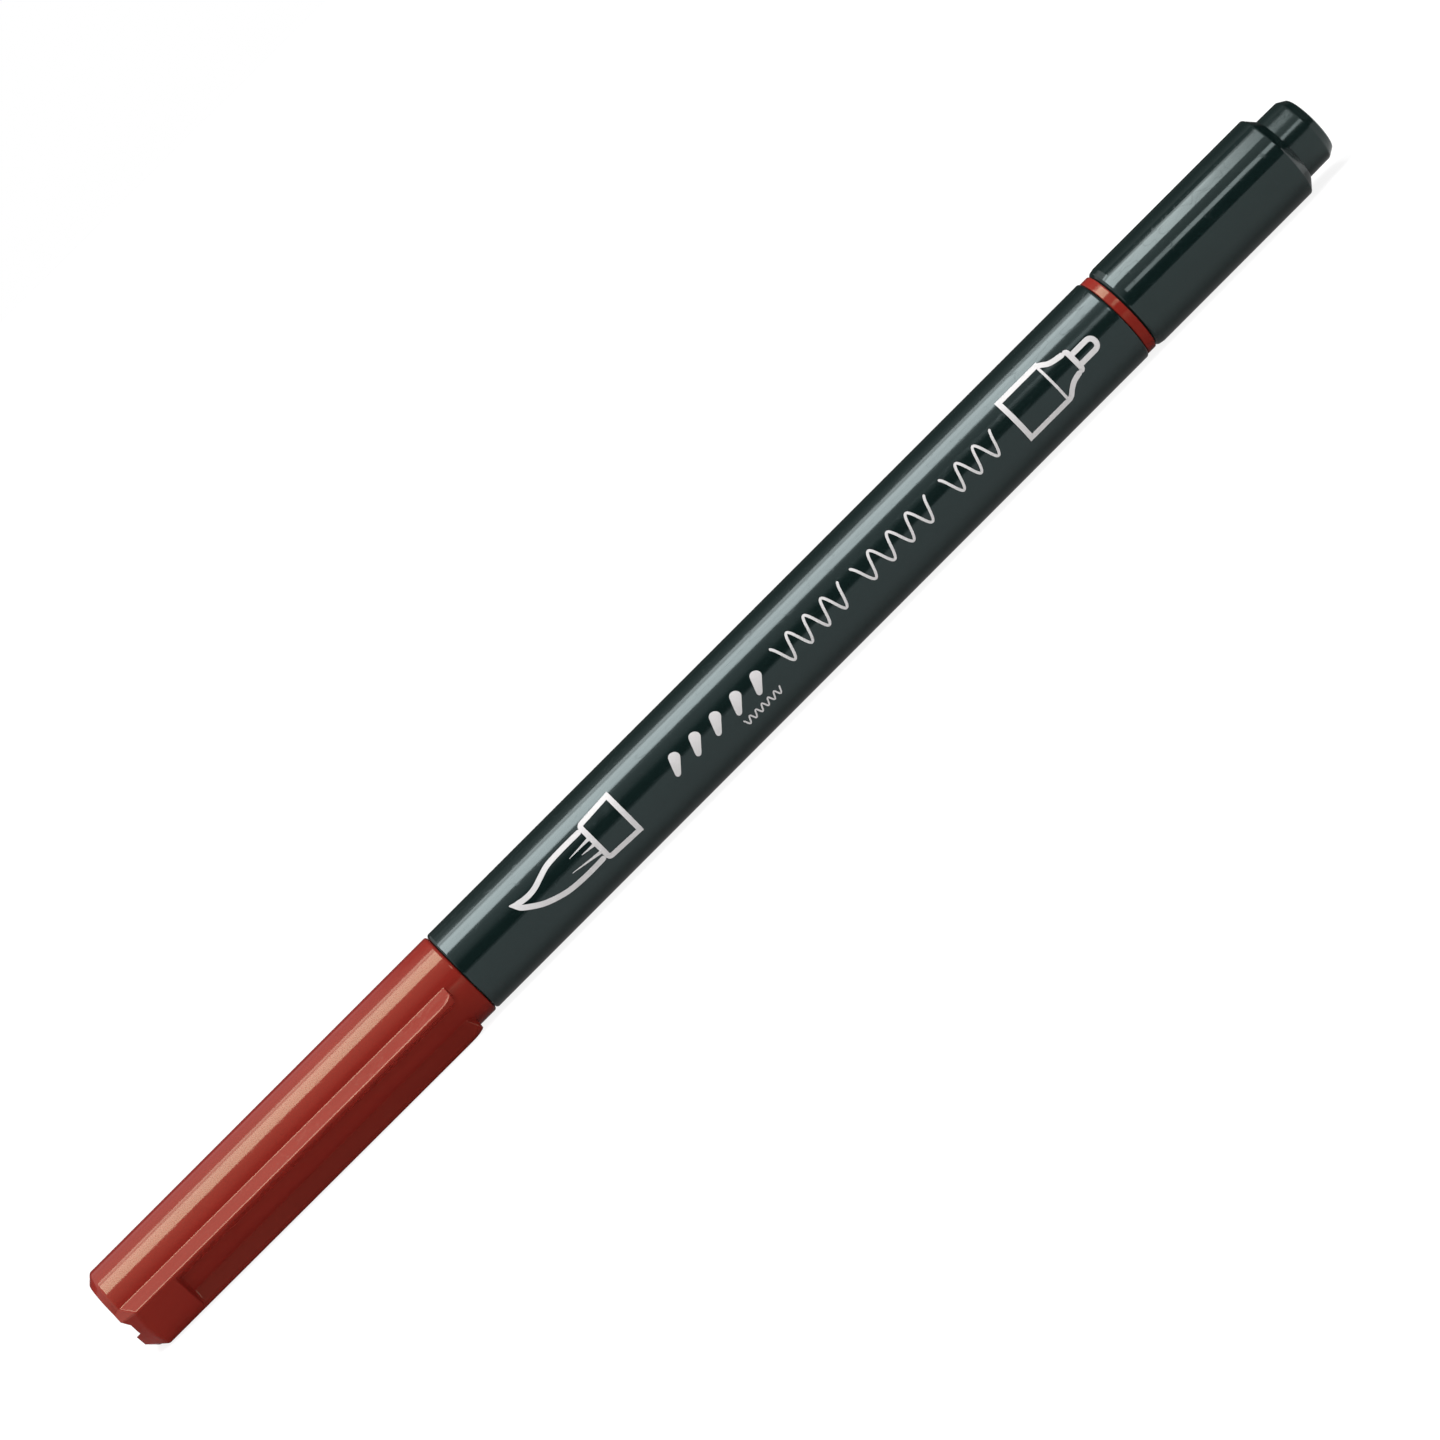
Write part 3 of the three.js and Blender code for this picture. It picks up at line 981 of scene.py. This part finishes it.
def make_fine_cap_plug():
    start, end = span("fine_inner_cap")
    sleeve_end = span("fine_cap")[1]
    flange = sleeve_end - 1.8
    nose_root, nose = 3.69, 3.64  # the nose is drafted
    return lathe(
        "fine_cap_plug",
        [
            (start, 3.2, 0.1),
            (start, 3.95, 0.25),
            (flange, 3.95, 0.05),
            (flange, nose_root, 0.05),
            (end - 1.0, nose, 0.45),
            (end - 0.12, 3.12, 0.35),
            (end, NOSE_FLAT_R - 0.1, 0.12),
            (end, 0.0, 0.0),
            (end - 1.1, 0.0, 0.0),
            (end - 1.1, 2.4, 0.2),
            (sleeve_end + 0.6, 2.6, 0.1),
            (sleeve_end, 3.2, 0.1),
        ],
        PLUG_BLACK,
        "fine_cap",
        "fine_inner_cap",
    )


# ========================================================================================== prints
# Silver ink on the barrel. Points are (x, v): v runs round the barrel, downwards in the camera's view,
# from the line that faces the camera.

INK_TOP = 0.014
INK_BOTTOM = 0.002
BOLD = 0.54
FINE = 0.27


def on_barrel(x, v, lift):
    """The point at (x, v) on the barrel, lifted off its surface by that much."""
    return around(x, BODY_R + lift, FACING + math.degrees(v / BODY_R))


def through(points, steps=10):
    """A smooth curve through the points."""
    padded = [2 * points[0] - points[1], *points, 2 * points[-1] - points[-2]]
    curve = []
    for a, b, c, d in zip(padded, padded[1:], padded[2:], padded[3:]):
        for k in range(steps):
            t = k / steps
            slope = (c - a) * t + (2 * a - 5 * b + 4 * c - d) * t * t
            curve.append(b + (slope + (3 * b - a - 3 * c + d) * t**3) / 2)
    return curve + [points[-1]]


def even(path, gap):
    """The same path with points at even gaps, and closer ones near both ends."""
    lengths = [0.0]
    for a, b in zip(path, path[1:]):
        lengths.append(lengths[-1] + (b - a).length)
    total = lengths[-1]
    close = [0.0, 0.01, 0.03, 0.06, 0.1, 0.15, 0.21]
    middle_count = max(2, round((total - 0.5) / gap))
    middle = [0.25 + (total - 0.5) * k / middle_count for k in range(middle_count + 1)]
    wanted = close + middle + [total - c for c in reversed(close)]
    made, i = [], 0
    for w in sorted(min(max(v, 0.0), total) for v in wanted):
        while i < len(lengths) - 2 and lengths[i + 1] < w:
            i += 1
        t = (w - lengths[i]) / max(lengths[i + 1] - lengths[i], 1e-9)
        made.append((path[i].lerp(path[i + 1], min(t, 1.0)), w, total))
    return made


def ribbon(path, width, square, vertices, faces):
    """Adds a strip of ink, round-ended unless square. width is a size, or a function of the share."""
    rows = even(path, 0.12)
    first = len(vertices)
    for i, (place, at, total) in enumerate(rows):
        before, after = rows[max(i - 1, 0)][0], rows[min(i + 1, len(rows) - 1)][0]
        ahead = (after - before).normalized()
        side = Vector((-ahead.y, ahead.x))
        full = width(at / total) if callable(width) else width
        to_end = 1.0 if square else min(at, total - at, full / 2) / (full / 2)
        half = max(full / 2 * math.sqrt(1 - (1 - to_end) ** 2), 0.004)
        for across, lift in ((-1, INK_BOTTOM), (-1, INK_TOP), (0, INK_TOP), (1, INK_TOP), (1, INK_BOTTOM)):
            spot = place + side * half * across
            vertices.append(on_barrel(spot.x, spot.y, lift))
    for i in range(len(rows) - 1):
        for k in range(5):
            n = (k + 1) % 5
            a, b = first + 5 * i + k, first + 5 * i + n
            faces.append([a, b, b + 5, a + 5])
    last = first + 5 * (len(rows) - 1)
    faces.append([first + k for k in range(5)])
    faces.append([last + k for k in range(5)])


def points(*pairs):
    return [Vector(p) for p in pairs]


def bar(start, end, width=BOLD):
    """A straight stroke with square ends, half a width past both points."""
    a, b = Vector(start), Vector(end)
    past = (b - a).normalized() * width / 2
    return [a - past, b + past], width, True


def printed(name, strokes):
    """One print from (path, width, square) strokes."""
    vertices, faces = [], []
    for path, width, square in strokes:
        ribbon(path, width, square, vertices, faces)
    made = piece(name, vertices, faces, SILVER, "pen")
    made.data.set_sharp_from_angle(angle=math.radians(PRINT_SHARP))
    return made


def pointed(share):
    """Full width, but for the first tenth, which runs out to a point."""
    return BOLD * min(1.0, 0.15 + 9.0 * share)


def make_brush_symbol():
    """A pictogram of a brush point: two curved outlines, three bristle marks and a ferrule."""
    upper = points(
        (52.74, -1.22), (53.56, -0.80), (54.59, -0.63), (55.62, -0.72), (56.67, -1.05),
        (57.70, -1.38), (58.73, -1.50), (60.30, -1.54), (62.40, -1.53),
    )
    lower = points(
        (52.74, -1.22), (53.46, -0.32), (54.23, 0.29), (54.91, 0.74), (55.62, 1.10), (56.67, 1.48),
        (57.70, 1.75), (58.73, 1.88), (60.28, 1.95), (62.36, 1.91),
    )
    strokes = [(through(upper), pointed, False), (through(lower), pointed, False)]
    left, right = 62.62, 66.46
    ferrule = rounded(
        [
            (right + BOLD / 2, -2.17, 0.0), (left, -1.92, 0.35),
            (left, 2.28, 0.35), (right + BOLD / 2, 2.49, 0.0),
        ],
        closed=False,
        support=0,
    )
    strokes.append((ferrule, BOLD, True))
    strokes.append(bar((right, -2.0), (right, 2.3)))
    marks = [((62.45, -0.42), (59.85, -0.37)), ((62.45, 0.34), (60.9, 0.22)), ((62.45, 1.30), (59.1, 0.80))]
    for root, tip in marks:
        strokes.append((points(root, tip), lambda share: BOLD * (0.72 - 0.62 * share**0.6), False))
    return printed("print_brush_symbol", strokes)


def make_marker_symbol():
    """A pictogram of a fine tip: a barrel box, a cone and a rounded nib."""
    left, right = 118.38, 123.35
    top, bottom = -2.16, 2.49
    front = 126.29
    strokes = [
        bar((left, top), (right, top)),
        bar((left, bottom), (right, bottom)),
        bar((left, top), (left, bottom)),
        bar((right, top), (right, bottom), FINE),
    ]
    upper = points(
        (123.3, -2.16), (123.75, -1.86), (124.27, -1.46), (124.89, -1.25), (125.5, -1.14), (126.0, -1.05),
    )
    lower = points(
        (123.3, 2.49), (123.75, 2.38), (124.29, 1.90), (124.90, 1.51), (125.5, 1.34), (126.0, 1.26),
    )
    strokes += [(through(upper), BOLD, False), (through(lower), BOLD, False)]
    face = rounded(
        [(125.9, -1.07, 0.0), (front, -1.02, 0.25), (front, 1.22, 0.25), (125.9, 1.28, 0.0)],
        closed=False,
        support=0,
    )
    nib = rounded(
        [(front, -0.46, 0.0), (128.95, -0.46, 0.58), (128.95, 0.79, 0.58), (front, 0.79, 0.0)],
        closed=False,
        support=0,
    )
    strokes += [(face, BOLD, False), (nib, BOLD, False)]
    return printed("print_marker_symbol", strokes)


def make_dabs():
    """A plain row of five slanted brush dabs, each broad where it starts."""
    strokes = []
    for k in range(5):
        middle = 73.1 + 2.69 * k
        path = through(points((middle + 0.62, -0.55), (middle + 0.1, 0.25), (middle - 0.62, 1.45)))
        strokes.append((path, lambda share: 1.36 - 0.86 * share, False))
    return printed("print_dabs", strokes)


def wave(start, end, middle, height, count):
    """An even wave with that many crests."""
    path = []
    steps = count * 40
    for k in range(steps + 1):
        share = k / steps
        v = middle - height * math.cos(2 * math.pi * count * share)
        path.append(Vector((start + (end - start) * share, v)))
    return path


def make_waves():
    """Thin plain waves along the barrel, in three runs, and a smaller one under the dabs."""
    strokes = []
    for start, end, count in ((86.8, 95.9, 4), (97.4, 107.4, 4), (109.2, 116.1, 3)):
        strokes.append((wave(start, end, 0.22, 1.18, count), FINE, False))
    strokes.append((wave(80.4, 85.2, 2.5, 0.36, 6), 0.16, False))
    return printed("print_waves", strokes)


# ================================================================================== light and camera

LAMPS = [
    # (from angle, to angle, from x, to x, brightness, edge in degrees); the last one takes light away
    (-1.0, 27.3, -0.42, 0.174, 11.2, 1.2),
    (-6.4, -1.0, -0.42, 0.174, 4.6, 1.0),
    (-11.4, -6.4, -0.42, 0.134, 7.0, 1.0),
    (51.0, 60.2, 0.142, 0.6, 6.0, 1.0),
    (-38.0, -11.4, -1.0, -0.03, 0.8, 8.0),
    (-60.0, -38.0, -1.0, -0.03, 0.55, 8.0),
    (-20.0, -5.0, 0.134, 0.52, -0.45, 3.0),
]
SURROUND = [
    # (angle, brightness) of the walls round the lamps
    (-180.0, 0.9), (-98.0, 0.9), (-92.0, 0.06), (-70.0, 0.06), (-55.0, 0.07),
    (-42.0, 0.1), (-33.0, 0.2), (-25.0, 0.4), (-17.5, 0.65), (-11.0, 0.78),
    (34.0, 0.95), (39.0, 0.85), (49.0, 0.7), (54.0, 0.55), (58.0, 0.4),
    (62.5, 0.15), (67.0, 0.05), (87.4, 0.05), (89.9, 0.6), (92.0, 0.9),
    (180.0, 0.9),
]
END_FLAG = (0.6, 0.2)  # past this x, towards the fine tip, the surround is only this bright
LAMP_END_EDGE = 0.008  # softness of the lamps' ends, in x
WHITE = (1.0, 1.0, 1.0, 1.0)
FLOOR_HALF = 30.0
FLOOR_GAP = 0.02  # millimetres under the lowest point


class Sky:
    """The studio round the pen, as brightness by direction."""

    def __init__(self):
        world = bpy.data.worlds.new("studio")
        bpy.context.scene.world = world
        world.use_nodes = True
        self.nodes = world.node_tree.nodes
        self.links = world.node_tree.links
        self.nodes.clear()

    def math(self, operation, *values):
        return math_node(self.nodes, self.links, operation, values)

    def change(self, value, at, edge, first, second):
        """Runs smoothly from first to second where value passes at."""
        node = self.nodes.new("ShaderNodeMapRange")
        node.interpolation_type = "SMOOTHSTEP"
        node.inputs["From Min"].default_value = at - edge / 2
        node.inputs["From Max"].default_value = at + edge / 2
        node.inputs["To Min"].default_value = first
        node.inputs["To Max"].default_value = second
        self.links.new(value, node.inputs["Value"])
        return node.outputs["Result"]

    def window(self, value, start, end, edge):
        """1 between start and end, 0 outside."""
        rise = self.change(value, start, edge, 0.0, 1.0)
        fall = self.change(value, end, edge, 1.0, 0.0)
        return self.math("MULTIPLY", rise, fall)

    def build(self):
        direction = self.nodes.new("ShaderNodeTexCoord").outputs["Generated"]
        split = self.nodes.new("ShaderNodeSeparateXYZ")
        self.links.new(direction, split.inputs["Vector"])
        x, y, z = split.outputs
        towards_camera = self.math("MULTIPLY", y, -1.0)
        angle = self.math("DEGREES", self.math("ARCTAN2", towards_camera, z))

        ramp = self.nodes.new("ShaderNodeValToRGB")
        stops = ramp.color_ramp.elements
        while len(stops) < len(SURROUND):
            stops.new(0.5)
        for stop, (at, brightness) in zip(stops, SURROUND):
            stop.position = (at + 180.0) / 360.0
            stop.color = (brightness, brightness, brightness, 1.0)
        share = self.math("DIVIDE", self.math("ADD", angle, 180.0), 360.0)
        self.links.new(share, ramp.inputs["Fac"])
        fade = self.change(x, END_FLAG[0], 0.1, 1.0, END_FLAG[1])
        total = self.math("MULTIPLY", ramp.outputs["Color"], fade)
        for start, end, x_start, x_end, brightness, edge in LAMPS:
            band = self.window(angle, start, end, edge)
            across = self.window(x, x_start, x_end, LAMP_END_EDGE)
            lamp = self.math("MULTIPLY", self.math("MULTIPLY", band, across), brightness)
            total = self.math("ADD", total, lamp)

        light = self.nodes.new("ShaderNodeBackground")
        light.inputs["Color"].default_value = WHITE
        self.links.new(total, light.inputs["Strength"])
        backdrop = self.nodes.new("ShaderNodeBackground")
        backdrop.inputs["Color"].default_value = WHITE
        seen = self.nodes.new("ShaderNodeLightPath").outputs["Is Camera Ray"]
        mix = self.nodes.new("ShaderNodeMixShader")
        self.links.new(seen, mix.inputs[0])
        self.links.new(light.outputs["Background"], mix.inputs[1])
        self.links.new(backdrop.outputs["Background"], mix.inputs[2])
        output = self.nodes.new("ShaderNodeOutputWorld")
        self.links.new(mix.outputs["Shader"], output.inputs["Surface"])


def make_floor():
    """A plain pale floor that the pen lies on. In the picture it is a light table, with a faint shadow."""
    half = FLOOR_HALF
    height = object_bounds()[0].z - FLOOR_GAP * MM
    mesh = bpy.data.meshes.new("floor")
    mesh.from_pydata(
        [(-half, -half, height), (half, -half, height), (half, half, height), (-half, half, height)],
        [],
        [(0, 1, 2, 3)],
    )
    floor = bpy.data.objects.new("floor", mesh)
    bpy.context.scene.collection.objects.link(floor)
    shade = Shade(
        "pale_floor",
        Base_Color=(0.5, 0.5, 0.5, 1.0),
        Roughness=0.9,
        Specular_IOR_Level=0.0,
        Emission_Color=WHITE,
        Emission_Strength=0.17,
    )
    # what the camera sees: a light table
    glow = shade.nodes.new("ShaderNodeBsdfPrincipled")
    set_sockets(
        glow,
        Base_Color=(0.13, 0.13, 0.13, 1.0),
        Roughness=0.9,
        Specular_IOR_Level=0.0,
        Emission_Color=WHITE,
        Emission_Strength=0.88,
    )
    seen = shade.nodes.new("ShaderNodeLightPath").outputs["Is Camera Ray"]
    mix = shade.nodes.new("ShaderNodeMixShader")
    shade.links.new(seen, mix.inputs[0])
    shade.links.new(shade.shader.outputs["BSDF"], mix.inputs[1])
    shade.links.new(glow.outputs["BSDF"], mix.inputs[2])
    shade.links.new(mix.outputs["Shader"], shade.nodes["Material Output"].inputs["Surface"])
    shade.material.cycles.emission_sampling = "NONE"
    mesh.materials.append(shade.material)


def make_camera():
    """The camera stands beside the pen and is rolled, so that the pen runs up to the right."""
    across = Vector((1.0, 0.0, 0.0))
    elevation = math.radians(CAMERA_ELEVATION)
    out = Vector((0.0, -math.cos(elevation), math.sin(elevation)))
    down = Vector((0.0, -math.sin(elevation), -math.cos(elevation)))
    stand = across * CAMERA_X * MM + out * CAMERA_DISTANCE * MM
    aim = across * AIM_X * MM + down * AIM_DROP * MM
    back = (stand - aim).normalized()
    right = (across + down).normalized()
    right = (right - back * right.dot(back)).normalized()
    up = back.cross(right)
    data = bpy.data.cameras.new("camera")
    data.lens = LENS
    data.sensor_width = SENSOR
    data.clip_start = 0.01
    data.clip_end = 100.0
    camera = bpy.data.objects.new("camera", data)
    camera.matrix_world = Matrix.Translation(stand) @ Matrix((right, up, back)).transposed().to_4x4()
    bpy.context.scene.collection.objects.link(camera)
    bpy.context.scene.camera = camera


make_camera()
make_barrel()
make_ring()
make_brush_cap()
make_brush_cap_liner()
make_brush_grip()
make_brush_bush()
make_bristles()
make_feed_wick()
make_ink_core()
make_core_film()
make_fine_grip()
make_fine_point()
make_fine_cap_sleeve()
make_fine_cap_plug()
make_brush_symbol()
make_dabs()
make_waves()
make_marker_symbol()
Sky().build()
make_floor()
bpy.context.scene.view_settings.view_transform = "Standard"
